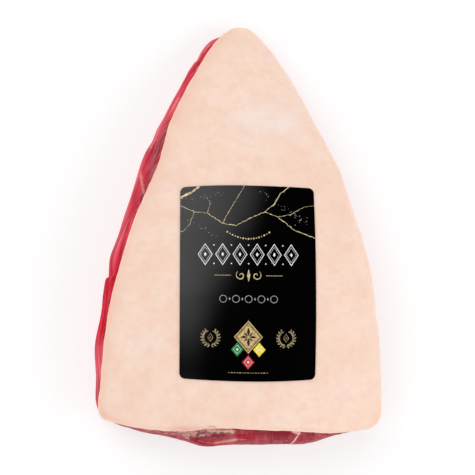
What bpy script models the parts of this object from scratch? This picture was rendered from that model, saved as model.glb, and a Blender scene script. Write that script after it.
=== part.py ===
# Raw picanha, the rump cap of beef: a whole three-cornered cut that lies on its lean side, with its
# fat cap up and a sticker on the fat.
#
# Three solids make it. The lean muscle has a flat foot, a bulging side and a cut butt end. The fat cap
# is a domed layer that follows the muscle and laps over its right side. The sticker is a thin sheet
# that lies on the fat. X runs across the butt end, +Y from the butt end to the tip, and +Z is up. Metres.

import math

import bmesh
import bpy
from mathutils import Matrix, Vector, noise
from mathutils.bvhtree import BVHTree

MM = 0.001

# The edge of the fat cap seen from above, in millimetres, anticlockwise from the tip, and how far the
# lean stands out past it there. A negative reach means that the fat laps over the lean.
# x, y, reach
EDGE = (
    (4.5, 153.6, -1),
    (-5.5, 147.5, 0.5),
    (-14.5, 136.5, 4),
    (-32.5, 104.5, 4.5),
    (-45, 77, 5.5),
    (-48.5, 62.5, 8.5),
    (-53.5, 47, 10),
    (-68.5, 10, 6.5),
    (-81, -34, 4.5),
    (-84.2, -50, 3),
    (-86.5, -68, 4.5),
    (-88.8, -101, 1.5),
    (-89.6, -110.5, -0.5),
    (-86, -118, -1.5),
    (-63, -125.2, 0),
    (-30, -127.3, 5),
    (-16, -125.5, 10),
    (9, -126, 7.8),
    (50.5, -127, 6.5),
    (70, -127.5, 0),
    (93.5, -123.2, -2),
    (99, -117, -2),
    (100, -105, -2),
    (97.5, -58.5, -2),
    (89.1, -7.5, -2),
    (74.2, 42, -2),
    (55.8, 82.5, -2),
    (33.5, 126.5, -2),
    (21.8, 143.5, -1.5),
    (13.5, 151.6, -1.5),
)
AROUND = 144  # points round every loop of the fat and of the lean

# The dome of the fat: its crown, and how tightly it bends across, towards the tip and towards the butt
CROWN_XY = Vector((6, -30)) * MM
CROWN = 51 * MM
ACROSS_RADIUS = 280 * MM
TIP_RADIUS = 460 * MM
BUTT_RADIUS = 500 * MM
FAT_SWELL = 0.5 * MM
FAT_SWELL_LENGTH = 42 * MM

# Thickness of the fat: at the crown, and where its edge faces left, right, the butt end or the tip
CROWN_FAT = 11 * MM
LEFT_FAT = 7 * MM
RIGHT_FAT = 13 * MM
BUTT_FAT = 9 * MM
TIP_FAT = 5.5 * MM
LIP_SHARE = 0.45  # of that thickness that the edge is rounded over
UNDERCUT = 0.7 * MM
UNDERCUT_SHARE = 0.85  # of that thickness down from the rim
TOP_SHARES = (0.14, 0.28, 0.41, 0.53, 0.64, 0.74, 0.83, 0.9)  # of the way from the crown to the edge
UNDER_SHARES = (0.97, 0.85, 0.6, 0.3)
LIP_TURNS = (0, 30, 60, 90)

LAYER_GAP = 0.3 * MM  # between touching solids

# The side of the lean muscle: a shoulder under the fat, its widest line and a foot
SHOULDER_IN = -4 * MM
WIDEST_SHARE = 0.42  # of the side's height
FOOT_SHARE = 0.26  # of the side's height that the foot turns in
SIDE_POWER = 2.4
SHOULDER_TURNS = (12, 34, 52, 68, 90)
FOOT_TURNS = (24, 46, 68, 90)
LEAN_SWELL = 0.9 * MM
LEAN_SWELL_LENGTH = 16 * MM
# Seams between the muscle bundles that end at the side: x, y, depth and half width, in millimetres
SEAMS = (
    (-26, 128, 2, 4.5),
    (-84, -25, 1.8, 5),
    (-58, 66, 1.6, 6),
    (-33, -132, 1.6, 6),
    (93, 3, 1.6, 6),
    (62, 84, 1.4, 5),
)

# The sticker
STICKER_XY = Vector((6.5, -30.5)) * MM
STICKER_HALF = Vector((45, 65)) * MM
STICKER_CORNER = 3.5 * MM
STICKER_THICKNESS = 0.4 * MM
STICKER_RINGS = 7
CORNER_STEPS = 4
SIDE_STEPS = 9


def clear_scene():
    for thing in list(bpy.data.objects):
        bpy.data.objects.remove(thing, do_unlink=True)


def smooth_loop(rows, count):
    """Points at even steps along the smooth closed curve through rows, each with all their columns."""
    size = len(rows)
    rows = [Vector(row) * MM for row in rows]
    steps = [(rows[(i + 1) % size].xy - rows[i].xy).length for i in range(size)]
    slopes = [(rows[(i + 1) % size] - rows[i - 1]) / (steps[i] + steps[i - 1]) for i in range(size)]
    fine = []
    for i in range(size):
        after = (i + 1) % size
        for k in range(24):
            t = k / 24
            fine.append(
                rows[i] * (1 + 2 * t) * (1 - t) ** 2
                + rows[after] * (3 - 2 * t) * t**2
                + slopes[i] * steps[i] * t * (1 - t) ** 2
                - slopes[after] * steps[i] * (1 - t) * t**2
            )
    fine.append(fine[0])
    lengths = [0.0]
    for a, b in zip(fine, fine[1:]):
        lengths.append(lengths[-1] + (b.xy - a.xy).length)
    points = []
    k = 0
    for n in range(count):
        along = lengths[-1] * n / count
        while lengths[k + 1] < along:
            k += 1
        points.append(fine[k].lerp(fine[k + 1], (along - lengths[k]) / (lengths[k + 1] - lengths[k])))
    return points


def dome(x, y):
    """The height of the fat's top, with its slow swells."""
    across, along = Vector((x, y)) - CROWN_XY
    along_radius = TIP_RADIUS if along > 0 else BUTT_RADIUS
    drop = across**2 / (2 * ACROSS_RADIUS) + along**2 / (2 * along_radius)
    swell = FAT_SWELL * noise.noise(Vector((x, y, 0)) / FAT_SWELL_LENGTH)
    return CROWN - drop + swell


class Spoke:
    """The line from the crown to one point on the fat's edge, with the sizes of the meat there."""

    def __init__(self, before, here, after):
        self.at = here.xy
        self.reach = here.z
        along = (after.xy - before.xy).normalized()
        out = Vector((along.y, -along.x))
        left, right = max(-out.x, 0) ** 2, max(out.x, 0) ** 2
        butt, tip = max(-out.y, 0) ** 2, max(out.y, 0) ** 2
        self.fat = LEFT_FAT * left + RIGHT_FAT * right + BUTT_FAT * butt + TIP_FAT * tip
        self.span = (self.at - CROWN_XY).dot(out)  # from the crown, square to the edge
        self.side_top = self.under(1).z - LAYER_GAP

    def top(self, share):
        """A point of the fat's top, at that share of the way from the crown to the edge."""
        x, y = CROWN_XY.lerp(self.at, share)
        return Vector((x, y, dome(x, y)))

    def under(self, share):
        """The same place on the underside of the fat."""
        return self.top(share) - Vector((0, 0, CROWN_FAT + (self.fat - CROWN_FAT) * share**2))

    def beside(self, out, height):
        """A point at that distance outside the fat's edge, and at that height."""
        x, y = CROWN_XY.lerp(self.at, 1 + out / self.span)
        return Vector((x, y, height))


def lip_point(spoke, turn):
    """A point of the rounded edge of the fat, from its top at 0 degrees to its side at 90."""
    angle = math.radians(turn)
    lip = LIP_SHARE * spoke.fat
    point = spoke.beside(lip * (math.sin(angle) - 1), 0)
    point.z = dome(point.x, point.y) - lip * (1 - math.cos(angle))
    return point


def undercut_point(spoke):
    return spoke.beside(-UNDERCUT, spoke.top(1).z - UNDERCUT_SHARE * spoke.fat)


def fat_loops(spokes):
    """The loops of the fat cap: out over the dome, round its lip and in along its underside."""
    loops = [[spoke.top(share) for spoke in spokes] for share in TOP_SHARES]
    loops += [[lip_point(spoke, turn) for spoke in spokes] for turn in LIP_TURNS]
    loops.append([undercut_point(spoke) for spoke in spokes])
    loops += [[spoke.under(share) for spoke in spokes] for share in UNDER_SHARES]
    return loops


def seam_depth(x, y):
    """How deep the seams between the muscle bundles cut in at this place on the side."""
    depth = 0
    for seam_x, seam_y, deepest, half in SEAMS:
        away = math.hypot(x / MM - seam_x, y / MM - seam_y)
        depth += deepest * MM * math.exp(-((away / half) ** 2))
    return depth


def side_point(spoke, out, height, relief):
    """A point of the lean's side. Its bulges and seams are full where relief is 1."""
    point = spoke.beside(out, height)
    bulge = LEAN_SWELL * noise.noise(point / LEAN_SWELL_LENGTH)
    return spoke.beside(out + relief * (bulge - seam_depth(point.x, point.y)), height)


def shoulder_point(spoke, turn):
    """A point of the lean's shoulder, from under the fat at 0 degrees to the widest line at 90."""
    outward = math.sin(math.radians(turn))
    upward = math.cos(math.radians(turn))
    widest = WIDEST_SHARE * spoke.side_top
    out = SHOULDER_IN + (spoke.reach - SHOULDER_IN) * outward ** (2 / SIDE_POWER)
    height = widest + (spoke.side_top - widest) * upward ** (2 / SIDE_POWER)
    return side_point(spoke, out, height, outward)


def foot_point(spoke, turn):
    """A point of the lean's foot, from the widest line at 0 degrees to the ground at 90."""
    outward = max(0, math.cos(math.radians(turn)))
    downward = math.sin(math.radians(turn))
    out = spoke.reach - FOOT_SHARE * spoke.side_top * (1 - outward ** (2 / SIDE_POWER))
    height = WIDEST_SHARE * spoke.side_top * (1 - downward ** (2 / SIDE_POWER))
    return side_point(spoke, out, height, outward)


def lean_loops(spokes):
    """The loops of the lean: out under the fat, over its shoulder and down to its foot."""
    gap = Vector((0, 0, LAYER_GAP))
    loops = [[spoke.under(share) - gap for spoke in spokes] for share in reversed(UNDER_SHARES)]
    loops += [[shoulder_point(spoke, turn) for spoke in spokes] for turn in SHOULDER_TURNS]
    loops += [[foot_point(spoke, turn) for spoke in spokes] for turn in FOOT_TURNS]
    return loops


def sticker_outline():
    """The flat sticker's outline, a rectangle with round corners, about its own middle."""
    points = []
    for quarter in range(4):
        half = STICKER_HALF if quarter % 2 == 0 else STICKER_HALF.yx
        centre = half - Vector((STICKER_CORNER, STICKER_CORNER))
        corner = []
        for step in range(CORNER_STEPS + 1):
            angle = math.pi / 2 * step / CORNER_STEPS
            corner.append(centre + STICKER_CORNER * Vector((math.cos(angle), math.sin(angle))))
        run = Vector((-2 * centre.x / SIDE_STEPS, 0))
        side = [corner[-1] + run * step for step in range(1, SIDE_STEPS)]
        turn = Matrix.Rotation(quarter * math.pi / 2, 2)
        points += [turn @ point for point in corner + side]
    return points


def sticker_loops(fat):
    """The sticker's underside in loops, from its outline to its middle, dropped onto the fat."""
    tree = BVHTree.FromPolygons(
        [vertex.co for vertex in fat.data.vertices],
        [polygon.vertices for polygon in fat.data.polygons],
    )

    def dropped(flat):
        x = STICKER_XY.x + flat.x * math.cos(flat.y / TIP_RADIUS)
        y = STICKER_XY.y + flat.y * math.cos(flat.x / ACROSS_RADIUS)
        place = tree.ray_cast(Vector((x, y, 2 * CROWN)), Vector((0, 0, -1)))[0]
        return place + Vector((0, 0, LAYER_GAP))

    outline = sticker_outline()
    shares = [1 - ring / STICKER_RINGS for ring in range(STICKER_RINGS)]
    return [[dropped(point * share) for point in outline] for share in shares], dropped(Vector((0, 0)))


def loft(name, loops, first_end, last_end):
    """A mesh object through the loops. An end is a point that its loop fans to, or flat, or open."""
    mesh = bmesh.new()
    rings = [[mesh.verts.new(point) for point in loop] for loop in loops]
    count = len(loops[0])
    for upper, lower in zip(rings, rings[1:]):
        for i in range(count):
            after = (i + 1) % count
            mesh.faces.new((upper[i], lower[i], lower[after], upper[after]))
    for ring, end in ((rings[0], first_end), (rings[-1], last_end)):
        if end == "flat":
            mesh.faces.new(ring)
        elif end != "open":
            middle = mesh.verts.new(end)
            for i in range(count):
                mesh.faces.new((ring[i], ring[(i + 1) % count], middle))
    bmesh.ops.recalc_face_normals(mesh, faces=mesh.faces)
    data = bpy.data.meshes.new(name)
    mesh.to_mesh(data)
    mesh.free()
    data.shade_smooth()
    thing = bpy.data.objects.new(name, data)
    bpy.context.collection.objects.link(thing)
    return thing


def give_material(thing, name, colour, roughness):
    """A material of its own, from an sRGB colour."""
    linear = [((part / 255 + 0.055) / 1.055) ** 2.4 for part in colour]
    material = bpy.data.materials.new(name)
    material.use_nodes = True
    shader = material.node_tree.nodes["Principled BSDF"]
    shader.inputs["Base Color"].default_value = (*linear, 1)
    shader.inputs["Roughness"].default_value = roughness
    shader.inputs["Metallic"].default_value = 0
    thing.data.materials.append(material)


def place_on_ground(things):
    """Hang everything on one empty that brings the middle of its foot to the origin."""
    corners = [vertex.co for thing in things for vertex in thing.data.vertices]
    low = Vector([min(corner[axis] for corner in corners) for axis in range(3)])
    high = Vector([max(corner[axis] for corner in corners) for axis in range(3)])
    root = bpy.data.objects.new("picanha", None)
    bpy.context.collection.objects.link(root)
    root.location = (-(low.x + high.x) / 2, -(low.y + high.y) / 2, -low.z)
    for thing in things:
        thing.parent = root


clear_scene()
edge = smooth_loop(EDGE, AROUND)
spokes = [Spoke(edge[i - 1], edge[i], edge[(i + 1) % AROUND]) for i in range(AROUND)]

crown_top = Vector((*CROWN_XY, dome(*CROWN_XY)))
crown_under = crown_top - Vector((0, 0, CROWN_FAT))
fat_cap = loft("fat_cap", fat_loops(spokes), crown_top, crown_under)
give_material(fat_cap, "beef fat", (247, 217, 199), 0.45)

lean = loft("lean", lean_loops(spokes), crown_under - Vector((0, 0, LAYER_GAP)), "flat")
give_material(lean, "raw lean beef", (190, 72, 84), 0.3)

rings, sticker_middle = sticker_loops(fat_cap)
label = loft("label", rings, "open", sticker_middle)
give_material(label, "black sticker film", (14, 13, 14), 0.35)
sheet = label.modifiers.new("thickness", "SOLIDIFY")
sheet.thickness = STICKER_THICKNESS
sheet.offset = 1

place_on_ground([lean, fat_cap, label])
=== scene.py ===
# Looks of a raw picanha, a whole rump cap of beef: it lies on its lean side, with its fat cap up and a
# black printed sticker on the fat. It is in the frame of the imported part, in metres. Tables of places on
# it, and the whole print, are in millimetres.
import math
import random

import bpy
import numpy as np
from mathutils import Matrix, Vector, noise
from mathutils.bvhtree import BVHTree


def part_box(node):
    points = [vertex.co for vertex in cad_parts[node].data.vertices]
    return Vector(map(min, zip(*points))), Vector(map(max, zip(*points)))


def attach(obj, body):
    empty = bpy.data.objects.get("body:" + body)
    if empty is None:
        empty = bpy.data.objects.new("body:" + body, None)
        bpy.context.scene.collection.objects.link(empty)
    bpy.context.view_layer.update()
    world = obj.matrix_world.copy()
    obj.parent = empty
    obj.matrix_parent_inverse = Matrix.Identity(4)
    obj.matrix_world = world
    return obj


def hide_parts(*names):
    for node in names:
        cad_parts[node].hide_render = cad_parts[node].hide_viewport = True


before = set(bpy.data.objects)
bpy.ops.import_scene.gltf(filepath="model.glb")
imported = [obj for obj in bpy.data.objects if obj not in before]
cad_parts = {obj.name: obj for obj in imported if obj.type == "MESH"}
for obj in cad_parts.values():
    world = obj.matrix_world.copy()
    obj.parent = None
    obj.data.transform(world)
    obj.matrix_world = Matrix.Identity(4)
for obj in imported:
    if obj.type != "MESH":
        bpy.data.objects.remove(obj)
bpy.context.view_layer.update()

# The lean muscle: the thick wedge of red beef under the fat. Its left side was parted from the next
# muscle, so its fibres and their skin run lengthwise there. Its butt end was cut across with a knife.

MM = 0.001
STICKER_LOW, STICKER_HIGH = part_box("label")
STICKER = (STICKER_LOW.xy + STICKER_HIGH.xy) / 2
CROWN = STICKER + Vector((-0.5, 0.5)) * MM  # every section of the meat runs out from this upright line
SAME_SPOKE = 0.004  # corners of a solid that are less than this apart, in radians, lie on one spoke
COLUMNS_PER_SPOKE = 4  # columns of the meat's grids for each spoke of the fat
FAN_RAYS = 61  # rays that feel for the edge of a section, from straight up to straight down


def spokes_of(node):
    """The outermost corner of a solid on each line out of the crown: its turn in radians, and its reach."""
    arms = [corner.co.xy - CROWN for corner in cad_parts[node].data.vertices]
    found = []
    for turn, reach in sorted((math.atan2(arm.y, arm.x), arm.length) for arm in arms if arm.length > MM):
        if found and turn - found[-1][0] < SAME_SPOKE:
            found[-1][1] = max(found[-1][1], reach)
        else:
            found.append([turn, reach])
    return found


def column_turns():
    """The turn of each column of the meat's grids, at even steps along the edge of the fat."""
    corners = [reach * Vector((math.cos(turn), math.sin(turn))) for turn, reach in spokes_of("fat_cap")]
    turns = []
    for here, after in zip(corners, corners[1:] + corners[:1]):
        for step in range(COLUMNS_PER_SPOKE):
            arm = here.lerp(after, step / COLUMNS_PER_SPOKE)
            turns.append(math.atan2(arm.y, arm.x))
    return turns


def evenly(points, count):
    """Points at even steps along a broken line."""
    points = np.array(points)
    along = np.concatenate(([0], np.cumsum(np.linalg.norm(np.diff(points, axis=0), axis=1))))
    places = np.linspace(0, along[-1], count)
    return np.stack([np.interp(places, along, points[:, axis]) for axis in range(3)], axis=1)


def skin_of(node):
    """The surface of a solid, for rays and for the nearest place on it."""
    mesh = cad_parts[node].data
    corners = [corner.co for corner in mesh.vertices]
    return BVHTree.FromPolygons(corners, [face.vertices for face in mesh.polygons])


def meat_grid(node, inset, over, edge, under):
    """The skin of a solid in rows: out from the crown, round its edge, and back in underneath."""
    skin = skin_of(node)
    turns, reaches = zip(*spokes_of(node))
    columns = []
    for turn in TURNS:
        way = Vector((math.cos(turn), math.sin(turn), 0))
        inner = float(np.interp(turn, turns, reaches, period=math.tau)) - inset

        def met(share, up):
            """The skin at a share of the way out to the edge: its top with -1, its underside with 1."""
            start = Vector((*CROWN, -up)) + way * inner * share
            return skin.ray_cast(start, Vector((0, 0, up)))[0]

        pivot = (met(1, 1) + met(1, -1)) / 2
        fan = []
        for k in range(FAN_RAYS):
            tilt = math.pi * (0.5 - k / (FAN_RAYS - 1))
            ray = way * math.cos(tilt) + Vector((0, 0, math.sin(tilt)))
            fan.append(skin.ray_cast(pivot, ray)[0])
        top = [met(k / over, -1) for k in range(1, over)]
        bottom = [met(k / under, 1) for k in range(under - 1, 0, -1)]
        columns.append(np.concatenate((np.array(top), evenly(fan, edge), np.array(bottom))))
    return np.array(columns).swapaxes(0, 1)


def softened(grid, across, down):
    """The grid with its facets smoothed out, by that many passes along its rows and down its columns."""
    for _ in range(across):
        grid = (np.roll(grid, 1, 1) + 2 * grid + np.roll(grid, -1, 1)) / 4
    for _ in range(down):
        grid = np.concatenate((grid[:1], (grid[:-2] + 2 * grid[1:-1] + grid[2:]) / 4, grid[-1:]))
    return grid


def outward(grid):
    """The unit normal at each point of the grid."""
    normals = np.cross(np.gradient(grid, axis=0), np.roll(grid, -1, 1) - np.roll(grid, 1, 1))
    return normals / np.linalg.norm(normals, axis=2, keepdims=True)


def ramped(values, low, high):
    """0 up to low and 1 from high on, with a smooth rise between."""
    share = np.clip((values - low) / (high - low), 0, 1)
    return share * share * (3 - 2 * share)


def lumps(grid, *lengths):
    """Smooth noise from about -1 to 1 over the grid, as long as that in millimetres along each axis."""
    scaled = (grid / (np.array(lengths) * MM)).reshape(-1, 3)
    return np.array([noise.noise(Vector(place)) for place in scaled]).reshape(grid.shape[:2])


def swelled(grid, swells):
    """How far swells stand out over the grid: each has its place, its height and its half width."""
    total = 0
    for place, height, half_width in swells:
        reach = np.linalg.norm(grid - np.array(place) * MM, axis=2) / (half_width * MM)
        total = total + height * np.exp(-(reach**2))
    return total


def smear(grid, half_width, path):
    """1 on a line through places in millimetres, fading to 0 over its half width."""
    nearest = np.full(grid.shape[:2], np.inf)
    path = np.array(path) * MM
    for start, end in zip(path, path[1:]):
        way = end - start
        share = np.clip((grid - start) @ way / (way @ way), 0, 1)
        gap = np.linalg.norm(grid - start - share[..., None] * way, axis=2)
        nearest = np.minimum(nearest, gap)
    return np.exp(-((nearest / (half_width * MM)) ** 2))


def gap_to(node, grid):
    """How far each point of the grid is from a solid, in millimetres."""
    skin = skin_of(node)
    gaps = [skin.find_nearest(Vector(point))[3] for point in grid.reshape(-1, 3)]
    return np.array(gaps).reshape(grid.shape[:2]) / MM


def meat_piece(name, grid, marks):
    """A closed mesh object over the grid, with marks for its material on its points."""
    rows, columns = grid.shape[:2]
    points = np.concatenate((grid.reshape(-1, 3), grid[:1].mean(axis=1), grid[-1:].mean(axis=1)))
    faces = []
    for row in range(rows - 1):
        for column in range(columns):
            after = (column + 1) % columns
            upper, lower = row * columns, (row + 1) * columns
            faces.append((upper + column, lower + column, lower + after, upper + after))
    last = (rows - 1) * columns
    for column in range(columns):
        after = (column + 1) % columns
        faces.append((rows * columns, column, after))
        faces.append((rows * columns + 1, last + after, last + column))
    mesh = bpy.data.meshes.new(name)
    mesh.from_pydata(points, [], faces)
    mesh.shade_smooth()
    for mark, values in marks.items():
        kind, field = ("FLOAT_VECTOR", "vector") if values.ndim == 3 else ("FLOAT", "value")
        ends = (values[0].mean(axis=0).ravel(), values[-1].mean(axis=0).ravel())
        layer = mesh.attributes.new(mark, kind, "POINT")
        layer.data.foreach_set(field, np.concatenate((values.ravel(), *ends)))
    piece = bpy.data.objects.new(name, mesh)
    bpy.context.collection.objects.link(piece)
    return piece


class Wire:
    """An output of a shader node. Maths on it is written as an expression, which adds its nodes."""

    def __init__(self, finish, socket):
        self.finish = finish
        self.socket = socket

    def maths(self, operation, first, second):
        kind = "Math"
        for part in (first, second):
            if isinstance(part, Vector) or isinstance(part, Wire) and part.socket.type == "VECTOR":
                kind = "VectorMath"
        return self.finish.node(kind, {"operation": operation}, [first, second])

    def __add__(self, other):
        return self.maths("ADD", self, other)

    def __radd__(self, other):
        return self.maths("ADD", other, self)

    def __sub__(self, other):
        return self.maths("SUBTRACT", self, other)

    def __rsub__(self, other):
        return self.maths("SUBTRACT", other, self)

    def __mul__(self, other):
        return self.maths("MULTIPLY", self, other)

    def __rmul__(self, other):
        return self.maths("MULTIPLY", other, self)

    def dot(self, other):
        return self.finish.node("VectorMath", {"operation": "DOT_PRODUCT"}, [self, other])

    def length(self):
        return self.finish.node("VectorMath", {"operation": "LENGTH"}, [self])

    def ramp(self, low, high):
        """0 up to low and 1 from high on, with a smooth rise between."""
        sockets = {"Value": self, "From Min": low, "From Max": high}
        return self.finish.node("MapRange", {"interpolation_type": "SMOOTHSTEP"}, sockets)


def tint(*levels):
    """A colour for a shader, from the eye's red, green and blue of 0 to 255."""
    parts = [level / 255 for level in levels]
    return tuple(part / 12.92 if part <= 0.04045 else ((part + 0.055) / 1.055) ** 2.4 for part in parts)


class Finish:
    """A material, or the surround. Each of its nodes comes from the one method node()."""

    def __init__(self, name, kind="materials"):
        self.owner = getattr(bpy.data, kind).new(name)
        self.owner.use_nodes = True
        self.tree = self.owner.node_tree
        self.base = None

    def fill(self, node, sockets):
        """Give a node's sockets their values or links, in order or by name."""
        free = [socket for socket in node.inputs if socket.enabled]
        named = sockets if isinstance(sockets, dict) else dict(enumerate(sockets))
        for key, value in named.items():
            socket = free[key] if isinstance(key, int) else next(one for one in free if one.name == key)
            if isinstance(value, Wire):
                self.tree.links.new(value.socket, socket)
            elif socket.type == "RGBA":
                socket.default_value = (*value, 1)
            elif socket.type == "VECTOR" and isinstance(value, (int, float)):
                socket.default_value = (value, value, value)
            else:
                socket.default_value = value

    def node(self, kind, settings, sockets, out=0):
        """Add a node: first its settings, then the values or links of its sockets."""
        made = self.tree.nodes.new("ShaderNode" + kind)
        for name, value in settings.items():
            if name == "stops":
                while len(made.color_ramp.elements) < len(value):
                    made.color_ramp.elements.new(0.5)
                for element, (place, colour) in zip(made.color_ramp.elements, value):
                    element.position = place
                    element.color = (*colour, 1)
            else:
                setattr(made, name, value)
        self.fill(made, sockets)
        return Wire(self, [socket for socket in made.outputs if socket.enabled][out])

    def place(self):
        """The place of each point of the surface, in metres."""
        return self.node("TexCoord", {}, [], 3)

    def mark(self, name, out=2):
        """A mark on the mesh's points: a number, or a vector with out=1."""
        return self.node("Attribute", {"attribute_name": name}, [], out)

    def mottle(self, place, scale, detail, **more):
        """Soft patches from 0 to 1 over the place, finer for a larger scale."""
        return self.node("TexNoise", {}, {"Vector": place, "Scale": scale, "Detail": detail, **more})

    def torn(self, place, reach):
        """The place pushed about by up to that reach, so that a line drawn there comes out ragged."""
        push = self.node("TexNoise", {}, {"Vector": place, "Scale": TORN_SCALE, "Detail": 2}, 1)
        return place + (push - MIDDLE) * reach

    def blend(self, first, second, mask):
        """The first colour, and the second where the mask is 1."""
        return self.node("Mix", {"data_type": "RGBA"}, {"Factor": mask, "A": first, "B": second})

    def tones(self, share, *stops):
        """A colour for each share. A stop is a share and its red, green and blue."""
        ramp = [(place, tint(*colour)) for place, *colour in stops]
        return self.node("ValToRGB", {"stops": ramp}, [share])

    def stain(self, colour, mask):
        """Lay a colour over the base colour where the mask is 1."""
        over = colour if isinstance(colour, Wire) else tint(*colour)
        self.base = self.blend(self.base, over, mask)

    def bumpy(self, height, strength, depth):
        """The normal of a surface with fine relief of that depth in metres."""
        return self.node("Bump", {}, {"Strength": strength, "Distance": depth, "Height": height})

    def surface(self, sockets):
        """Fill in the material's own shader, and return the material."""
        self.fill(self.tree.nodes["Principled BSDF"], sockets)
        return self.owner


def drawn(place, path, half_width):
    """1 on a fine line through places in millimetres, fading to 0 over its half width."""
    finish = place.finish
    nearest = None
    for start, end in zip(path, path[1:]):
        start, way = Vector(start) * MM, (Vector(end) - Vector(start)) * MM
        arm = place - start
        share = finish.node("Clamp", {}, [arm.dot(way / way.length_squared)])
        gap = (arm - finish.node("VectorMath", {"operation": "SCALE"}, [way, share])).length()
        nearest = gap if nearest is None else finish.node("Math", {"operation": "MINIMUM"}, [nearest, gap])
    return nearest.ramp(half_width * MM, 0)


TURNS = column_turns()
MIDDLE = Vector((0.5, 0.5, 0.5))  # the middle of a noise's colour
TORN_SCALE = 420  # of the noise that makes lines ragged, in waves to a metre
LEAN_INSET = 10 * MM  # the part within this of its outline is its edge
LEAN_OVER, LEAN_EDGE, LEAN_UNDER = 6, 92, 16  # rows of its grid on top, round its edge and underneath
STEP_REACH = 14  # a step fades out over this length
STEPS = (  # where a bundle of fibres ends and the next stands out: place, step, half width
    ((-27, 118, 17), 1.4, 2),
    ((-88.5, -34, 20), 2.8, 0.9),
)
SWELLS = (  # where the side stands out or draws in: place, how far, half width
    ((-57.5, 66.5, 15), -2.4, 9),
    ((-61, 55, 17), 1.3, 7),
    ((-37.5, 100, 18), -0.5, 10),
    ((-73.5, 14, 26), -1.5, 12),
    ((-85, -20, 18), 1.7, 9),
    ((-90, -47, 17), -1.6, 10),
    ((-94.5, -97, 14), -1.1, 18),
    ((-92, -122, 15), -1.2, 9),
    ((-52, -138, 14), -1.3, 9),
    ((-36.5, -141, 14), 0.9, 6),
    ((-28.5, -143.5, 15), -0.8, 5),
    ((-20.5, -144, 16), 0.6, 5),
    ((53, -140, 13), -1.6, 8),
    ((62, -136.5, 17), -0.9, 8),
)

# Lines of places that its coloured marks follow: first down its left side, then along its butt end.
# darker meat next to the fat's left edge, with painted shade in the hollow there
WINE_AND_SHADE = (
    (-47, 71, 25), (-52, 60.5, 26.6), (-56, 52, 27.8), (-58, 44, 29), (-62.3, 28, 30.6), (-65.5, 19, 31.3)
)
DEEP = ((-88, -39, 18), (-90, -52, 17), (-92, -66, 17))
DEEPENING = ((-86, -33, 20), (-91, -66, 20), (-92.5, -79, 20))
# a pink lobe low on the left side, painted lighter as a wet highlight
ROSE_HIGHLIGHT = ((-93, -86, 24), (-93, -93, 23))
DUSTY = ((-93.5, -104, 20), (-93.5, -112, 17), (-90, -122, 15), (-75, -131, 16), (-62, -134.8, 19))
EDGE_SHADOWS = (  # painted shadow under the fat's left edge, where it stands off the lean
    ((-66.1, 19.6, 31), (-67.5, 14.8, 31.4), (-69.4, 10, 31.5), (-71.6, 3, 31.5)),
    ((-87, -51, 28.4), (-88, -58, 27.6), (-88.8, -63.3, 26.9), (-90, -74, 26.2)),
)
PALE_STREAKS_AND_HIGHLIGHTS = (  # threads of fat and skin, and painted highlights on the wet left side near the tip: line, half width
    (((-66.9, 37, 24), (-66.6, 31.2, 27.5), (-66.1, 26.7, 29.6), (-65.5, 22.4, 30.8)), 1.9),
    (((-56.5, 62.5, 23.4), (-58.6, 57.5, 22.8), (-60.5, 52.5, 22.8)), 1.5),
    (((-41, 91, 21.3), (-43, 87, 21.4), (-46, 81, 21.8)), 1.2),
    (((23.5, -140.9, 25), (27.4, -141.4, 23.5), (31.5, -141, 24.4)), 0.8),
    (((-3, -140.7, 26.8), (3.6, -140.6, 26.4)), 0.8),
    (((-27, -141.5, 24.8), (-21.5, -142.2, 23.5), (-16, -142.6, 22.8)), 0.7),
    (((-19.6, 130.6, 11.2), (-21.6, 127.6, 11.9), (-22.8, 125.6, 12.4)), 1.0),
    (((-27.4, 114.6, 16.2), (-29.2, 111.2, 16.8)), 0.9),
    (((45, -140.5, 23), (49, -139, 24.4), (54.5, -137, 24.5)), 0.6),
    (((50.4, -136.2, 26.6), (54, -136.3, 25.7)), 0.5),
)
SILVERSKIN = (
    (-50, -136, 24.5), (-40, -136.8, 26.4), (-33.5, -137.4, 27.6), (-27, -137, 29.2), (-21.5, -136.6, 30)
)
SILVERSKIN_SPUR = ((-37, -138.5, 26), (-34.5, -140.2, 23))
SILVERSKIN_TAIL = ((-64, -133.8, 22), (-58, -135, 22), (-50, -136, 24))
FLAP = ((-21.5, -135, 30.6), (-15, -135.5, 30.9), (-6, -135.6, 31.1))  # a shred of fat over the silverskin
FLAP_EDGE = ((-27, -136.3, 29.9), (-20, -136.7, 30), (-13, -136.9, 30.4), (-6.5, -136.8, 30.6))
PURPLE = ((-24, -138, 28.6), (-11, -138.3, 29.6))
CRIMSON = ((-1, -138.5, 29.4), (8, -139, 28.5))
CREAM_STREAK = ((-15, -142.6, 23.4), (-9.5, -142, 24.6), (-3.5, -140.9, 26.5))
BLOODY = ((-28, -142.8, 20.5), (-20, -143.4, 20.5), (-12, -143.6, 19.5))
# painted shadow in the gap under the fat's butt edge
GAP_SHADOW = ((9, -136, 31.2), (15, -136.6, 30.9), (32, -136.8, 29.8))
SEAM_ROOT = ((34.8, -135.2, 29.9), (37.6, -135.9, 29.1), (39.3, -136.4, 28.5), (38.6, -134.6, 30.8))
FAT_SEAM = (
    (39.2, -135.4, 28.6), (38.5, -137, 27.8), (37.2, -139.8, 25.8), (36.1, -141.6, 21.5), (35.6, -142.4, 16)
)
SEAM_END = ((35.6, -142.4, 16), (35.7, -142.4, 8), (36.6, -142, 3))

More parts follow.
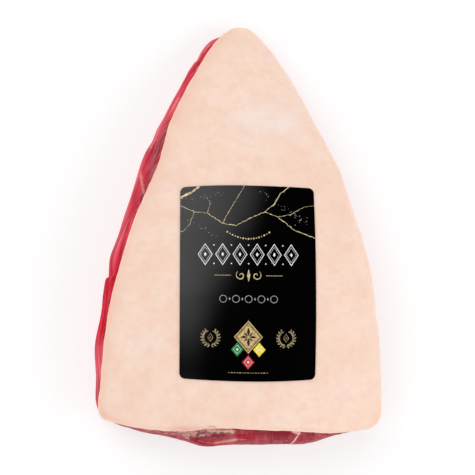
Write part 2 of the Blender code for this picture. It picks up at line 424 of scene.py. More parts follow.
lean_grid = meat_grid("lean", LEAN_INSET, LEAN_OVER, LEAN_EDGE, LEAN_UNDER)
lean_grid = softened(lean_grid, across=10, down=12)
widest = lean_grid[LEAN_OVER + LEAN_EDGE // 2]
run = np.cumsum(np.linalg.norm(np.roll(widest, -1, 0) - widest, axis=1))
around = run / run[-1] * math.tau
rise = np.cumsum(np.linalg.norm(np.diff(lean_grid, axis=0, prepend=lean_grid[:1]), axis=2), axis=0)
rise -= rise[LEAN_OVER - 1]
wrapped = run[-1] / math.tau  # radius of a drum that the side's skin wraps once
drum = (np.cos(around) * wrapped, np.sin(around) * wrapped)
grain = np.stack((*(np.broadcast_to(part, rise.shape) for part in drum), rise), axis=2)
lean_normals = outward(lean_grid)
toward_butt = -lean_normals[LEAN_OVER + LEAN_EDGE // 2, :, 1]
cut = np.broadcast_to(ramped(toward_butt, 0.5, 0.85), rise.shape)
beneath = ramped(-lean_normals[..., 2], 0.6, 0.9)
side = ramped(1 - np.abs(lean_normals[..., 2]), 0, 0.35) * (1 - beneath)
silver = np.maximum(smear(lean_grid, 3.4, SILVERSKIN), smear(lean_grid, 2.6, SILVERSKIN_SPUR))
silver = np.maximum(silver, 0.85 * smear(lean_grid, 2, SILVERSKIN_TAIL))

drift = np.stack((rise * 0, rise * 0, 3 * MM * lumps(grain, 60, 60, 60)), axis=2)
bundle = lumps(grain + drift, 46, 46, 6)
strand = lumps(grain + drift, 24, 24, 2.6)
crumb = 0.26 * lumps(lean_grid, 4.5, 4.5, 6) + 0.16 * lumps(grain, 2.6, 2.6, 14)
folds = 0.5 * np.abs(lumps(grain, 7, 7, 3.4))
relief = (0.85 * np.abs(bundle) + 0.16 * np.abs(strand)) * (1 - cut) * side
relief = relief + crumb * cut * side + folds * silver
for place, height, half_width in STEPS:
    gap = (lean_grid - np.array(place) * MM) / MM
    near = np.exp(-((np.linalg.norm(gap, axis=2) / STEP_REACH) ** 2))
    relief = relief + height * near * ramped(-gap[..., 1], -half_width, half_width) * side
relief = relief + swelled(lean_grid, SWELLS) * side
lean_grid = lean_grid + lean_normals * relief[..., None] * MM
lean_grid[..., 2] = np.maximum(lean_grid[..., 2], 0)

lean = meat_piece(
    "lean_muscle",
    lean_grid,
    {
        "grain": grain,
        "cut": cut,
        "beneath": beneath,
        # painted shade in the creases between bundles of fibres
        "crease": np.exp(-((bundle / 0.2) ** 2)) * (1 - cut) * side,
        # painted shade: the lean darkens where it runs in under the fat
        "tucked": np.exp(-((gap_to("fat_cap", lean_grid) / 1.3) ** 2)),
        "silver": silver,
        "wine": smear(lean_grid, 3.4, WINE_AND_SHADE),
        "deep": np.maximum(smear(lean_grid, 14, DEEP), 0.7 * smear(lean_grid, 11, DEEPENING)),
        "rose": smear(lean_grid, 9, ROSE_HIGHLIGHT),
        "dusty": smear(lean_grid, 7, DUSTY),
        "purple": smear(lean_grid, 1.8, PURPLE),
        "crimson": np.maximum(smear(lean_grid, 3.2, CRIMSON), 0.9 * smear(lean_grid, 3.4, BLOODY)),
    },
)

beef = Finish("raw lean beef")
fibre_place = beef.mark("grain", 1)
meat_place = beef.place()
lobes = beef.mottle(fibre_place * (26, 26, 240), 1, 2)
fibres = beef.mottle(fibre_place * (70, 70, 1100), 1, 4)
strands = beef.mottle(fibre_place * (620, 620, 80), 1, 4)
under_fibre = beef.mottle(meat_place * (500, 50, 50), 1, 4)
broad = beef.mottle(meat_place, 70, 3)
marble = beef.mottle(fibre_place * (70, 70, 260), 1, 3, Distortion=0.5)
speck = beef.mottle(fibre_place * (330, 330, 520), 1, 5)
ragged = beef.torn(meat_place, 3.5 * MM)
tone = lobes * 0.62 + fibres * 0.38
beef.base = beef.tones(
    tone, (0.38, 192, 42, 63), (0.47, 212, 65, 82), (0.55, 222, 90, 102), (0.66, 236, 126, 130)
)
cut_tone = strands * 0.55 + broad * 0.45
cut_red = beef.tones(cut_tone, (0.36, 128, 36, 49), (0.5, 156, 57, 68), (0.66, 176, 86, 92))
under_red = beef.tones(under_fibre, (0.3, 128, 30, 44), (0.5, 158, 48, 60), (0.72, 190, 100, 102))
beef.stain(cut_red, beef.mark("cut"))
beef.stain(under_red, beef.mark("beneath"))
deep = beef.tones(tone, (0.38, 178, 8, 36), (0.48, 204, 12, 44), (0.58, 220, 32, 60), (0.68, 230, 78, 94))
beef.stain(deep, (beef.mark("deep") * 1.15).ramp(0, 1))
beef.stain((176, 82, 92), beef.mark("dusty") * (0.35 + speck * 0.8))
# painted wet highlight on the pink lobe low on the left side
beef.stain((236, 104, 112), (beef.mark("rose") * 1.2).ramp(0, 1) * (0.35 + tone * 0.8))
# darker meat, with painted shade in the hollow by the fat's left edge
wine = beef.tones(fibres, (0.38, 132, 48, 64), (0.5, 162, 68, 84), (0.62, 196, 112, 116))
beef.stain(wine, (beef.mark("wine") * (0.5 + lobes)).ramp(0.25, 0.75) * 0.85)
beef.stain((122, 44, 66), beef.mark("purple") * 0.62)
beef.stain((164, 26, 48), beef.mark("crimson") * 0.85)
marbling = marble.ramp(0.475, 0.5) * marble.ramp(0.525, 0.5) * broad.ramp(0.5, 0.62)
beef.stain((208, 130, 128), marbling * (0.15 + beef.mark("cut") * 0.12))
# painted shade: the creases between bundles darker
beef.stain((112, 14, 32), beef.mark("crease") * 0.38)
# painted shade where the lean meets the fat, except on the silverskin
beef.stain((118, 22, 36), beef.mark("tucked") * (1 - beef.mark("silver")) * 0.6)
skin_tone = beef.blend(tint(208, 166, 156), tint(108, 74, 66), speck.ramp(0.48, 0.62))
skin_tone = beef.blend(skin_tone, tint(168, 76, 84), lobes.ramp(0.5, 0.6) * 0.6)
beef.stain(skin_tone, (beef.mark("silver") * (0.35 + speck * 1.2)).ramp(0.4, 0.75) * 0.9)
# painted shadow along the fat's left edge
for path in EDGE_SHADOWS:
    beef.stain((112, 40, 46), drawn(ragged, path, 2.4) * (fibres * 1.8 - 0.15))
# pale threads of fat and skin, some of them painted highlights
for path, half_width in PALE_STREAKS_AND_HIGHLIGHTS:
    beef.stain((224, 142, 136), drawn(ragged, path, half_width) * (0.3 + fibres * 0.9))
beef.stain((220, 160, 142), drawn(ragged, CREAM_STREAK, 3.2) * (fibres * 1.7 + speck * 0.6 - 0.45))
# painted shadow in the gap under the fat's butt edge
beef.stain((112, 26, 42), drawn(ragged, GAP_SHADOW, 3.4) * (lobes * 0.8 + strands * 0.9 - 0.3))
beef.stain((236, 196, 178), drawn(ragged, FLAP, 2.6) * (lobes * 1.5 + speck * 0.9 - 0.4))
beef.stain((104, 58, 54), drawn(ragged, FLAP_EDGE, 1.0) * 0.8)
beef.stain((226, 182, 166), drawn(meat_place, SEAM_ROOT, 1.5).ramp(0, 0.7))
beef.stain((222, 160, 152), drawn(ragged, SEAM_END, 0.9) * (fibres * 1.4 - 0.2))
beef.stain((236, 186, 176), drawn(meat_place, FAT_SEAM, 0.85).ramp(0, 0.6) * (0.7 + lobes * 0.5))
ridge = fibres * (1 - beef.mark("cut")) + strands * beef.mark("cut")
lean.data.materials.append(
    beef.surface(
        {
            "Base Color": beef.base,
            "Roughness": 0.36 + broad * 0.16,
            "Specular IOR Level": 0.02,
            "Subsurface Weight": 0.08,
            "Subsurface Radius": (1, 0.25, 0.15),
            "Subsurface Scale": 1.5 * MM,
            "Coat Weight": lobes.ramp(0.5, 0.7) * (1 - (beef.mark("deep") * 1.15).ramp(0, 1)) * 0.1,
            "Coat Roughness": 0.22,
            "Normal": beef.bumpy(ridge, 0.5, 0.3 * MM),
        }
    )
)
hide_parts("lean")
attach(lean, "root")

# The fat cap: the thick layer of hard cream-coloured fat over the whole top, trimmed smooth with a
# knife. Its edge is soft and rounded, and it hangs a little over the right side.

DRAWING = CROWN - Vector((6, -30)) * MM  # the origin of the part's drawing, in the middle of the photograph
CROWN_HEIGHT = 51 * MM
ACROSS_RADIUS, TIP_RADIUS, BUTT_RADIUS = 280 * MM, 460 * MM, 500 * MM  # how its top falls away each way
SWELL, SWELL_LENGTH = 0.5 * MM, 42 * MM  # height and length of the low swells of its top
FAT_INSET = 4 * MM
FAT_OVER, FAT_EDGE, FAT_UNDER = 100, 22, 9  # rows of its grid, as the lean's
PRESSED_HALF, PRESSED_FADE = (47, 67), 4  # the sticker presses the fat smooth over this, about its middle
EDGE_TINT_REACH = 4  # how far in from its edge the fat is warmer at the left side, and painted darker as shade at the right
LILAC = ((7, 74, 44), (18, 76, 42), (28, 71, 41))  # a paler patch on the fat
FLUSHED = ((-44, -135.5, 36), (-34, -136, 36.5), (-24, -135.5, 37.5))  # a pinker part of its butt edge
TORN = (  # where its butt edge is torn over the silverskin
    (-26.5, -135.2, 35.5), (-24.3, -134.5, 38), (-21.5, -133.5, 39.8),
    (-18.6, -133.9, 39.2), (-12, -134.6, 37),
)
TAN_CORNER = ((91, -122, 25), (94, -118, 24))
EDGE_SWELLS = (  # where its edge stands out or draws in: place, how far, half width
    ((85.5, -28, 34), 0.8, 14),
    ((73, 12, 36), -0.6, 12),
    ((64.5, 41, 33), 0.8, 11),
    ((75, -133.3, 30), -1.0, 11),
    ((92, -123.5, 26), 0.7, 5),
    ((87, -131, 27), 0.4, 4),
    ((-90, -126, 27), 1.6, 6),
)


def dome(x, y):
    """The height of the fat's top, as the part's solid has it."""
    across, along = x - CROWN.x, y - CROWN.y
    drop = across**2 / (2 * ACROSS_RADIUS) + along**2 / (2 * (TIP_RADIUS if along > 0 else BUTT_RADIUS))
    place = Vector((x - DRAWING.x, y - DRAWING.y, 0)) / SWELL_LENGTH
    return CROWN_HEIGHT - drop + SWELL * noise.noise(place)


fat_grid = meat_grid("fat_cap", FAT_INSET, FAT_OVER, FAT_EDGE, FAT_UNDER)
for row in fat_grid[: FAT_OVER - 1]:
    for point in row:
        point[2] = dome(point[0], point[1])
fat_grid = softened(fat_grid, across=8, down=3)
fat_normals = outward(fat_grid)
lip = ramped(1 - fat_normals[..., 2], 0.02, 0.5)
hidden = ramped(-fat_normals[..., 2], 0.3, 0.6)
rim, rim_out = fat_grid[FAT_OVER + FAT_EDGE // 2, :, :2], fat_normals[FAT_OVER + FAT_EDGE // 2, :, :2]
inward = ((rim - fat_grid[..., :2]) * rim_out).sum(axis=2) / MM
edge_nearness = np.exp(-inward / EDGE_TINT_REACH)
from_middle = np.abs(fat_grid[..., :2] - np.array(STICKER)) / MM
pressed = ramped(np.array(PRESSED_HALF) - from_middle, 0, PRESSED_FADE).prod(axis=2)
relief = 0.2 * lumps(fat_grid, 16, 16, 16) + 0.09 * lumps(fat_grid, 6, 6, 6)
relief = relief + lip * (0.35 * lumps(fat_grid, 12, 12, 9) + 0.22 * lumps(fat_grid, 4.2, 4.2, 5))
relief = relief + lip * swelled(fat_grid, EDGE_SWELLS)
relief = relief * (1 - 0.75 * pressed) * (1 - hidden)
fat_grid = fat_grid + fat_normals * relief[..., None] * MM
fat = meat_piece(
    "fat_layer",
    fat_grid,
    {
        "lip": lip,
        "butt": ramped(lip, -0.2, 0.8) * ramped(-fat_normals[..., 1], 0.1, 0.5),
        "fringe": ramped(lip, 0.7, 1) * ramped(-fat_normals[..., 0], 0.2, 0.7),
        "lilac": smear(fat_grid, 13, LILAC),
        "flushed": smear(fat_grid, 4, FLUSHED),
        "warm": edge_nearness * ramped(-rim_out[:, 0], 0.1, 0.6),
        "dulled": edge_nearness * ramped(rim_out[:, 0], 0.3, 0.8),
        "corner": smear(fat_grid, 5, TAN_CORNER),
    },
)

tallow = Finish("beef fat")
fat_place = tallow.place()
clouds = tallow.mottle(fat_place, 42, 3, Roughness=0.45)
patches = tallow.mottle(fat_place + 3, 105, 2)
blush = tallow.mottle(fat_place + 7, 85, 3)
flecks = tallow.mottle(fat_place + 5, 230, 2)
rosy_flecks = tallow.mottle(fat_place + 9, 190, 2)
torn_place = tallow.torn(fat_place, 3 * MM)
pores = tallow.mottle(fat_place, 900, 3)
tallow.base = tallow.tones(clouds, (0.35, 249, 217, 197), (0.5, 251, 221, 203), (0.68, 252, 225, 210))
tallow.stain((245, 206, 180), patches.ramp(0.5, 0.75) * 0.6)
tallow.stain((249, 210, 198), blush.ramp(0.5, 0.75) * 0.6)
tallow.stain((244, 209, 180), flecks.ramp(0.48, 0.72) * 0.4)
tallow.stain((251, 207, 192), rosy_flecks.ramp(0.48, 0.72) * 0.35)
lilac = (tallow.mark("lilac") * 0.7 + patches * 0.9 + flecks * 0.6 - 0.75).ramp(0.1, 0.75) * 0.75
tallow.stain((250, 232, 226), lilac)
# painted shade: the fat's rounded edge darker all round, and darker still where it faces the butt end
tallow.stain((243, 210, 192), tallow.mark("lip") * 0.5)
tallow.stain((238, 198, 178), tallow.mark("butt") * (0.1 + flecks * 0.9))
tallow.stain((226, 168, 156), tallow.mark("flushed") * (0.3 + blush * 0.8))
tallow.stain((238, 190, 166), tallow.mark("warm") * (0.35 + blush * 0.8))
# painted shade along the fat's right edge
tallow.stain((232, 198, 182), tallow.mark("dulled") * 0.25)
fringe = tallow.mark("fringe") * (blush * 0.7 + flecks * 0.3).ramp(0.42, 0.66) * 0.7
tallow.stain((240, 172, 156), fringe)
tallow.stain((246, 200, 168), tallow.mark("corner") * 0.6)
tallow.stain((170, 128, 110), drawn(torn_place, TORN, 1.2) * (flecks * 1.6 - 0.15))
fat.data.materials.append(
    tallow.surface(
        {
            "Base Color": tallow.base,
            "Roughness": 0.46 + pores * 0.08,
            "Specular IOR Level": 0.3,
            "Subsurface Weight": 0.1,
            "Subsurface Radius": (1, 0.6, 0.4),
            "Subsurface Scale": 2 * MM,
            "Normal": tallow.bumpy(pores + patches, 0.25, 0.2 * MM),
        }
    )
)
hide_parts("fat_cap")
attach(fat, "root")

# The sticker: a sheet of black satin film with round corners, stuck to the fat. Its edges stand off
# the fat a little, most at the right and at the butt end.

FILM_HALF = Vector((45, 65))
FILM_CORNER, CORNER_STEPS = 3.5, 8
FILM_BOW = 1.1  # how far its corners draw in from its tip and butt edges, as it stretches over the dome
FILM_ASKEW = Vector((0.5, 2.0))  # how far its corner at the right of its tip edge was pulled out
ASKEW_AT_BUTT = 0.25  # share of that pull at the butt end
TIP_STRETCH = 0.3  # how much further it reaches at its tip edge
FILM_STANDS = 0.38  # its underside above the fat
FILM_THICKNESS = 0.14
EDGE_LIFT, EDGE_REACH = 0.14, 1.6  # how far its right and butt edges lift, and how soon that fades
SLIGHT_LIFT = 0.25  # share of that lift at its other two edges
FILM_STEP = 2  # longest step along the rings of its mesh, and between them
FILM_RINGS = 30


def on_film(u, v, above=0.0):
    """A place on the film, that far above its top. All are in millimetres, from the film's middle."""
    half_u, half_v = FILM_HALF
    pulled, tipward = (max(u, 0) / half_u) ** 2, (1 + v / half_v) / 2
    v -= FILM_BOW * (u / half_u) ** 2 * (v / half_v)
    u += FILM_ASKEW.x * pulled
    v += FILM_ASKEW.y * pulled * (ASKEW_AT_BUTT + (1 - ASKEW_AT_BUTT) * tipward) + TIP_STRETCH * tipward**2
    x = STICKER.x + u * MM * math.cos(v * MM / TIP_RADIUS)
    y = STICKER.y + v * MM * math.cos(u * MM / ACROSS_RADIUS)
    past_edges = ((u - half_u, 1), (-v - half_v, 1), (-u - half_u, SLIGHT_LIFT), (v - half_v, SLIGHT_LIFT))
    lift = EDGE_LIFT * max(share * math.exp(past / EDGE_REACH) for past, share in past_edges)
    return Vector((x, y, dome(x, y) + (FILM_STANDS + FILM_THICKNESS + lift + above) * MM))


def rounded_box(half_u, half_v, corner, step):
    """The outline of a rectangle with round corners, about its middle, with no step longer than that."""
    points = []
    for quarter in range(4):
        across, up = (half_u, half_v) if quarter % 2 == 0 else (half_v, half_u)
        turn = Matrix.Rotation(quarter * math.pi / 2, 2)
        straight = across - corner
        for k in range(CORNER_STEPS + 1):
            angle = math.pi / 2 * k / CORNER_STEPS
            bend = Vector((straight + corner * math.cos(angle), up - corner + corner * math.sin(angle)))
            points.append(turn @ bend)
        count = math.ceil(2 * straight / step)
        for k in range(1, count):
            points.append(turn @ Vector((straight - 2 * straight * k / count, up)))
    return points


def ringed(outline, rings):
    """Points and faces that fill an outline which its middle sees all of, in rings towards the middle."""
    middle = sum(outline, Vector((0, 0))) / len(outline)
    count = len(outline)
    points = [point.lerp(middle, ring / rings) for ring in range(rings) for point in outline] + [middle]
    faces = []
    for ring in range(rings):
        for k in range(count):
            here, after = ring * count + k, ring * count + (k + 1) % count
            if ring < rings - 1:
                faces.append((here, after, after + count, here + count))
            else:
                faces.append((here, after, len(points) - 1))
    return points, faces


def thickened(name, places, faces, thickness, finish):
    """A closed sheet under the given places."""
    mesh = bpy.data.meshes.new(name)
    mesh.from_pydata(places, [], faces)
    mesh.shade_smooth()
    mesh.materials.append(finish)
    piece = bpy.data.objects.new(name, mesh)
    bpy.context.collection.objects.link(piece)
    sheet = piece.modifiers.new("thickness", "SOLIDIFY")
    sheet.thickness = thickness * MM
    sheet.offset = -1
    piece.modifiers.new("crisp rim", "EDGE_SPLIT")
    return piece


black = Finish("black sticker film")
film_place = black.place()
film_grain = black.mottle(film_place, 1500, 2)
film_wave = black.mottle(film_place, 35, 1)
film_finish = black.surface(
    {
        "Base Color": black.blend(tint(0, 0, 0), tint(2, 2, 2), film_grain),
        "Roughness": 0.11 + film_grain * 0.03,
        "Specular IOR Level": 0.75,
        "Normal": black.bumpy(film_wave + film_grain * 0.05, 0.15, 0.3 * MM),
    }
)
film_points, film_faces = ringed(rounded_box(*FILM_HALF, FILM_CORNER, FILM_STEP), FILM_RINGS)
film_places = [on_film(*point) for point in film_points]
film = thickened("sticker_film", film_places, film_faces, FILM_THICKNESS, film_finish)
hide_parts("label")
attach(film, "root")

# The gold veins over the sticker's top quarter, like those of black marble. They are hot foil, pressed
# onto the film: one long vein with branches, and a broad one at the corner.

FOIL = 0.03  # thickness of the foils and inks
SHARPEST = 0.4  # keeps a line from growing wide where it turns sharply


def finely(stops, step=1.5, closed=False):
    """The same line with stops added, so that no step is longer than that."""
    stops = [Vector(stop) for stop in stops]
    ends = stops[1:] + stops[:1] if closed else stops[1:]
    fine = []
    for start, end in zip(stops, ends):
        count = max(1, math.ceil((end - start).length / step))
        fine += [start.lerp(end, k / count) for k in range(count)]
    return fine if closed else fine + [stops[-1]]


class Print:
    """Flat shapes of one ink, drawn in millimetres from the middle of the film."""

    def __init__(self):
        self.points = []
        self.faces = []

    def add(self, points, faces):
        first = len(self.points)
        self.points += points
        self.faces += [tuple(first + corner for corner in face) for face in faces]

    def fill(self, outline):
        """Fill an outline that its middle sees all of."""
        middle = sum(outline, Vector((0, 0))) / len(outline)
        rings = math.ceil(max((point - middle).length for point in outline) / FILM_STEP)
        self.add(*ringed(outline, rings))

    def line(self, stops, widths, closed=False):
        """Draw a line through the stops. It has a width at each stop, or one for all."""
        count = len(stops)
        if isinstance(widths, (int, float)):
            widths = [widths] * count
        sides = []
        for k, stop in enumerate(stops):
            before = stops[k - 1] if closed or k > 0 else stop
            after = stops[(k + 1) % count] if closed or k < count - 1 else stop
            into, out = (stop - before).normalized(), (after - stop).normalized()
            across = (into + out).normalized().orthogonal()
            square = max(SHARPEST, abs(across.dot((out if out.length else into).orthogonal())))
            sides.append((stop + across * widths[k] / 2 / square, stop - across * widths[k] / 2 / square))
        points = [point for pair in sides for point in pair]
        faces = []
        for k in range(count if closed else count - 1):
            here, after = 2 * k, 2 * ((k + 1) % count)
            faces.append((here, here + 1, after + 1, after))
        self.add(points, faces)

    def frame(self, corners, width, step=1.2):
        """Draw a closed line through the corners."""
        self.line(finely(corners, step, True), width, True)

    def press(self, name, finish, layer=1):
        """Put the shapes onto the film as one piece."""
        places = [on_film(point.x, point.y, layer * FOIL) for point in self.points]
        piece = thickened(name, places, self.faces, FOIL, finish)
        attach(piece, "root")


def foil(name, bright, dull, metallic, roughness):
    """The finish of a foil or ink: its two tones, how metallic it is and how rough."""
    ink = Finish(name)
    wear = ink.mottle(ink.place(), 700, 4)
    return ink.surface(
        {
            "Base Color": ink.blend(tint(*bright), tint(*dull), wear.ramp(0.35, 0.65)),
            "Metallic": metallic,
            "Roughness": roughness - 0.1 + wear * 0.2,
            "Normal": ink.bumpy(wear, 0.2, 0.1 * MM),
        }
    )


VEIN_EDGE = FILM_HALF - Vector((0.2, 0.2))  # the veins end just inside the film's edge
CRACK_STEP, CRACK_SWAY = 1.1, 0.26
LONG_VEIN = (
    (-45, 52), (-36, 47.5), (-27, 46), (-17, 39), (-8, 37.5), (2, 43), (11, 47), (20, 44), (31, 35), (45, 30)
)
VEINS = (  # stops of each vein, and its width at its start and end
    (LONG_VEIN, 0.4, 0.55),
    (((-17, 39), (-13, 47), (-9, 53), (-2, 65)), 0.4, 0.25),
    (((11, 47), (18, 53), (22, 60), (28, 65)), 0.45, 0.8),
    (((20, 44), (29, 46), (37, 51), (45, 53)), 0.35, 0.2),
    (((-36, 47.5), (-38, 40), (-42, 35), (-45, 33.5)), 0.3, 0.2),
    (((-27, 46), (-25, 53), (-29, 59)), 0.22, 0.1),
    (((-45, 57.5), (-41, 59.5), (-37.5, 61), (-32, 65)), 2.0, 1.3),
)


def cracked(draw, stops):
    """A line through the stops that wanders from side to side like a crack in stone."""
    line = finely(stops, CRACK_STEP)
    for k in range(1, len(line) - 1):
        sway = (draw.uniform(-CRACK_SWAY, CRACK_SWAY), draw.uniform(-CRACK_SWAY, CRACK_SWAY))
        line[k] = line[k] + Vector(sway)
    return line


draw = random.Random(11)
veins = Print()
for stops, start_width, end_width in VEINS:
    line = cracked(draw, stops)
    widths = []
    for k in range(len(line)):
        width = start_width + (end_width - start_width) * k / (len(line) - 1)
        widths.append(width * draw.uniform(0.45, 1.25))
    for point in line:
        point.x = max(-VEIN_EDGE.x, min(VEIN_EDGE.x, point.x))
        point.y = min(VEIN_EDGE.y, point.y)
    veins.line(line, widths)
veins.press("gold_veins", foil("gold foil", (252, 238, 196), (186, 158, 104), 0.25, 0.42))

# The trails of flecks between the veins, like dust in the marble. They are silver foil, each fleck no
# wider than a grain of salt.

TRAIL_SPREAD = 1.1
FLECK_CORNERS = (0, 1.3, 2.6, 3.9, 5.1)  # turns of a fleck's corners, in radians
FLECK_STRETCH = 1.6
TRAILS = (  # start and end of each trail, and how many flecks it has
    ((8, 62), (40, 40), 34),
    ((-40, 56), (-12, 60), 16),
    ((-43, 44), (-22, 31), 16),
    ((28, 40), (43, 44), 10),
)
dust = Print()
for start, end, count in TRAILS:
    for _ in range(count):
        middle = Vector(start).lerp(Vector(end), draw.random())
        middle += Vector((draw.gauss(0, TRAIL_SPREAD), draw.gauss(0, TRAIL_SPREAD)))
        size = draw.uniform(0.08, 0.24)
        turn = draw.uniform(0, math.tau)
        turns = [turn + corner for corner in FLECK_CORNERS]
        dust.fill([middle + size * Vector((math.cos(a) * FLECK_STRETCH, math.sin(a))) for a in turns])
dust.press("silver_flecks", foil("silver foil", (226, 222, 212), (150, 146, 138), 0.2, 0.4))

# The white band across the middle of the sticker, printed in white ink: six slim lozenges in fine
# double outline, with a small dot above and below each gap.

BAND_HEIGHT, BAND_STEP = 18.2, 11.4
LOZENGE = Vector((4.6, 7.0))
DOT_RISE = 6.2  # the dots' height above and below the band's middle
white_ink = foil("white ink", (254, 254, 252), (230, 230, 230), 0.0, 0.5)


def lozenge(middle, half):
    return [middle + half * Vector(corner) for corner in ((1, 0), (0, 1), (-1, 0), (0, -1))]


def disc(u, v, radius, count=12):
    turns = [k * math.tau / count for k in range(count)]
    return [Vector((u + radius * math.cos(turn), v + radius * math.sin(turn))) for turn in turns]


band = Print()
for place in range(6):
    middle = Vector(((place - 2.5) * BAND_STEP, BAND_HEIGHT))
    band.frame(lozenge(middle, LOZENGE), 0.46)
    band.frame(lozenge(middle, LOZENGE * 0.72), 0.16)
    band.fill(lozenge(middle, LOZENGE * 0.2))
for place in range(-2, 3):
    for v in (BAND_HEIGHT - DOT_RISE, BAND_HEIGHT + DOT_RISE):
        band.fill(disc(place * BAND_STEP, v, 0.45))
band.press("white_band", white_ink)

# The small gold ornaments in the middle: a hanging garland of dots over the band, and below it a pair
# of curls round a lozenge between two rules, all in gold foil.

GARLAND_HALF, GARLAND_SAG, GARLAND_LOW = 14, 4.6, 28.6
GARLAND_DOTS = 8  # to each side of its lowest
ORNAMENTS_HEIGHT = 4.2
RULE_START, RULE_END = 11.6, 22.6
CURL_MIDDLE, CURL_STEPS = 5.2, 33
CURL_TURN = math.radians(412.5)  # from its eye to its end
CURL_EYE, CURL_GROWTH = 0.5, 2.8  # its radius at the eye, and how much it grows to its end
ornaments = Print()
for k in range(-GARLAND_DOTS, GARLAND_DOTS + 1):
    share = k / GARLAND_DOTS
    height = GARLAND_LOW + GARLAND_SAG * share**2
    ornaments.fill(disc(GARLAND_HALF * share, height, 0.42 if k % 2 else 0.62))
for way in (-1, 1):
    ornaments.line(finely([(way * RULE_START, ORNAMENTS_HEIGHT), (way * RULE_END, ORNAMENTS_HEIGHT)]), 0.3)
    curl, widths = [], []
    for k in range(CURL_STEPS + 1):
        share = k / CURL_STEPS
        turn, radius = CURL_TURN * share, CURL_EYE + CURL_GROWTH * share
        out, up = CURL_MIDDLE + radius * math.cos(turn), radius * math.sin(turn)
        curl.append(Vector((way * out, ORNAMENTS_HEIGHT + up)))
        widths.append(0.25 + 0.5 * math.sin(math.pi * share))
    ornaments.line(curl, widths)
ornaments.fill(lozenge(Vector((0, ORNAMENTS_HEIGHT)), Vector((1.1, 4.2))))
ornaments.press("gold_ornaments", foil("bright gold foil", (236, 220, 174), (196, 176, 126), 0.3, 0.42))

# The row under the ornaments: five rings with a small lozenge in each gap. They are printed in one
# stroke of grey ink.

RINGS_HEIGHT, RING_STEP, RING_RADIUS = -11.4, 8.4, 2.3
rings = Print()
for place in range(-2, 3):
    rings.line(disc(place * RING_STEP, RINGS_HEIGHT, RING_RADIUS, 28), 0.4, True)
for place in range(-2, 2):
    rings.fill(lozenge(Vector(((place + 0.5) * RING_STEP, RINGS_HEIGHT)), Vector((0.65, 1.0))))
rings.press("grey_rings", foil("grey ink", (170, 170, 172), (140, 140, 144), 0.0, 0.5))

# The emblem near the sticker's foot: a great lozenge of gold foil with a dark flower engraved in it, and
# three small lozenges of green, red and yellow ink set against its lower half.

EMBLEM = Vector((0, -36.2))
GREAT = Vector((9.6, 10.8))
SMALL = GREAT * 0.43
CHINK = Vector((0.9, 0.9))  # between the great lozenge and a small one
ENGRAVED_FRAMES = ((0.87, 0.4), (0.78, 0.2))  # share of the great lozenge, and width
PETAL_ROOT = 0.7  # from the emblem's middle
PETAL_LENGTHS = (4.6, 3.2, 5.4, 3.2) * 2  # at every eighth of a turn
PETAL_WIDTH = 0.34  # share of its length
LEAF_STEPS = 6  # along each side of a leaf
SMALL_ONES = (  # tone of each small lozenge, which way it lies from the great one, and its two shades
    ("green", Vector((-0.5, -0.5)), (20, 140, 80), (16, 122, 70)),
    ("red", Vector((0, -1)), (206, 52, 58), (186, 40, 48)),
    ("yellow", Vector((0.5, -0.5)), (252, 232, 66), (236, 208, 48)),
)


def leaf(root, turn, length, width):
    """The outline of a pointed leaf that leaves its root at that turn."""
    along = Vector((math.cos(turn), math.sin(turn)))
    outline = []
    for k in range(2 * LEAF_STEPS):
        share = 1 - abs(1 - k / LEAF_STEPS)
        bulge = width / 2 * math.sin(math.pi * share) * (1 if k <= LEAF_STEPS else -1)
        outline.append(root + along * length * share + along.orthogonal() * bulge)
    return outline


great = Print()
great.fill(finely(lozenge(EMBLEM, GREAT), closed=True))
great.press("emblem_gold", foil("emblem foil", (242, 214, 158), (192, 162, 94), 0.3, 0.42))
engraved = Print()
for share, width in ENGRAVED_FRAMES:
    engraved.frame(lozenge(EMBLEM, GREAT * share), width)
for k, length in enumerate(PETAL_LENGTHS):
    turn = k * math.tau / len(PETAL_LENGTHS)
    root = EMBLEM + PETAL_ROOT * Vector((math.cos(turn), math.sin(turn)))
    engraved.fill(leaf(root, turn, length, length * PETAL_WIDTH))
engraved.press("emblem_engraving", foil("dark ink", (30, 24, 14), (20, 16, 10), 0.0, 0.45), 2)
inlay = Print()
for tone, way, bright, dull in SMALL_ONES:
    middle = EMBLEM + way * (GREAT + SMALL + CHINK)
    small = Print()
    small.fill(finely(lozenge(middle, SMALL), closed=True))
    small.press(f"emblem_{tone}", foil(f"{tone} ink", bright, dull, 0.0, 0.45))
    inlay.frame(lozenge(middle, SMALL * 0.62), 0.18)
    inlay.fill(lozenge(middle, SMALL * 0.2))
inlay.press("emblem_white", white_ink, 2)

# The two wreaths beside the emblem and the line of dashes at the foot, in dull gold foil. A wreath is
# two sprigs of small leaves that bend up round a lozenge.

WREATH_OUT, WREATH_HEIGHT, WREATH_RADIUS = 25, -37, 5.2
SPRIG_START, SPRIG_STEP = math.radians(-84), math.radians(19)  # turn to its first pair of leaves, and on
LEAF_SPREADS = (0.65, -0.75)  # turns of a pair's leaves from their sprig, in radians
DASHES_HEIGHT, DASH_STEP, DASH_HALF = -59.4, 1.8, 0.6
wreaths = Print()
for out in (-WREATH_OUT, WREATH_OUT):
    middle = Vector((out, WREATH_HEIGHT))
    for way in (-1, 1):
        sprig = []
        for k in range(8):
            angle = SPRIG_START + SPRIG_STEP * k
            root = middle + WREATH_RADIUS * Vector((way * math.cos(angle), math.sin(angle)))
            sprig.append(root)
            for spread in LEAF_SPREADS:
                turn = angle + math.pi / 2 + spread
                wreaths.fill(leaf(root, turn if way > 0 else math.pi - turn, 2.1, 0.85))
        wreaths.line(finely(sprig), 0.22)
    wreaths.frame(lozenge(middle, Vector((1.7, 2.6))), 0.35, 1)
    wreaths.fill(disc(*middle, 0.5, 10))
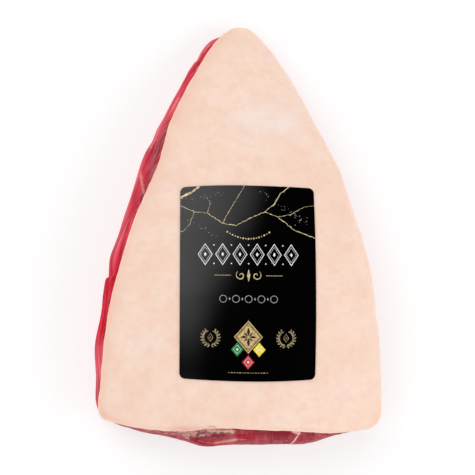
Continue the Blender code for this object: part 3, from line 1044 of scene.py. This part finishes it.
for k in range(-7, 8):
    ends = [Vector((DASH_STEP * k + half, DASHES_HEIGHT)) for half in (-DASH_HALF, DASH_HALF)]
    wreaths.line(ends, 0.36 if k % 3 else 0.6)
wreaths.press("gold_wreaths", foil("dull gold foil", (190, 172, 132), (128, 112, 80), 0.2, 0.45))

# The studio: a white floor, a large soft box over the tip's left and a second at the right, and a pale
# surround that is dark overhead, so that the film stays black away from the first box.

FLOOR_HALF, FLOOR_DROP = 3.0, 0.2 * MM
floor_mesh = bpy.data.meshes.new("floor")
quarters = ((-1, -1), (1, -1), (1, 1), (-1, 1))
floor_corners = [(x * FLOOR_HALF, y * FLOOR_HALF, -FLOOR_DROP) for x, y in quarters]
floor_mesh.from_pydata(floor_corners, [], [(0, 1, 2, 3)])
floor = bpy.data.objects.new("floor", floor_mesh)
bpy.context.collection.objects.link(floor)
matt = {"Base Color": (0.45, 0.45, 0.45), "Roughness": 0.9, "Specular IOR Level": 0.0}
glow = {"Emission Color": (1, 1, 1), "Emission Strength": 0.6}
floor_mesh.materials.append(Finish("white paper").surface(matt | glow))

SURROUND = 1.22  # brightness of the pale surround
DARK_ACROSS, DARK_ALONG = Vector((0.85, -0.526, 0)), Vector((0.526, 0.85, 0))  # sides of its dark panel
DARK = (0.004, 0.004, 0.004)
sky = Finish("surround", "worlds")
bpy.context.scene.world = sky.owner
gaze = sky.node("TexCoord", {}, [], 0)
across, along = gaze.dot(DARK_ACROSS), gaze.dot(DARK_ALONG)
clear = across.ramp(0, -0.29) * along.ramp(-0.32, 0.06)
panel = (1 - clear) * across.ramp(0.68, 0.52) * along.ramp(-0.5, -0.28) * along.ramp(0.9, 0.7)
sky.fill(sky.tree.nodes["Background"], {"Color": sky.blend((1, 1, 1), DARK, panel), "Strength": SURROUND})

BOX_DISTANCE = 2.0
SOFT_BOXES = (  # way to each square light from the meat, its side, and its brightness
    ("key", Vector((-0.62, 0.42, 0.66)), 0.9, 2.25),
    ("fill", Vector((0.84, -0.2, 0.5)), 1.2, 1.92),
)
for name, toward, side_length, radiance in SOFT_BOXES:
    light = bpy.data.lights.new(name, "AREA")
    light.size = side_length
    light.energy = radiance * math.pi * side_length**2
    lamp = bpy.data.objects.new(name, light)
    facing = toward.to_track_quat("Z", "Y").to_matrix().to_4x4()
    lamp.matrix_world = Matrix.Translation(toward.normalized() * BOX_DISTANCE) @ facing
    lamp.visible_camera = False
    bpy.context.collection.objects.link(lamp)

# The camera stands over the meat and looks down on it, tilted towards the lean's left side and towards
# the butt end, as in the photograph.

PIXEL = 0.66 * MM  # of the photograph, at the sticker's height
PHOTO_WIDTH = 475  # pixels
CAMERA_DISTANCE = 1.3
CAMERA_LEFT, CAMERA_BUTT = math.radians(8), math.radians(10)  # its tilts from upright
AIM_HEIGHT = 45 * MM
SENSOR = 36
back = Vector((-math.tan(CAMERA_LEFT), -math.tan(CAMERA_BUTT), 1)).normalized()
up = (Vector((0, 1, 0)) - back.y * back).normalized()
right = up.cross(back)
stand = Vector((*DRAWING, AIM_HEIGHT)) + CAMERA_DISTANCE * back
camera_data = bpy.data.cameras.new("camera")
camera_data.sensor_width = SENSOR
camera_data.lens = SENSOR * CAMERA_DISTANCE / (PHOTO_WIDTH * PIXEL)
camera = bpy.data.objects.new("camera", camera_data)
camera.matrix_world = Matrix.Translation(stand) @ Matrix((right, up, back)).transposed().to_4x4()
bpy.context.collection.objects.link(camera)
bpy.context.scene.camera = camera
bpy.context.scene.view_settings.view_transform = "Standard"
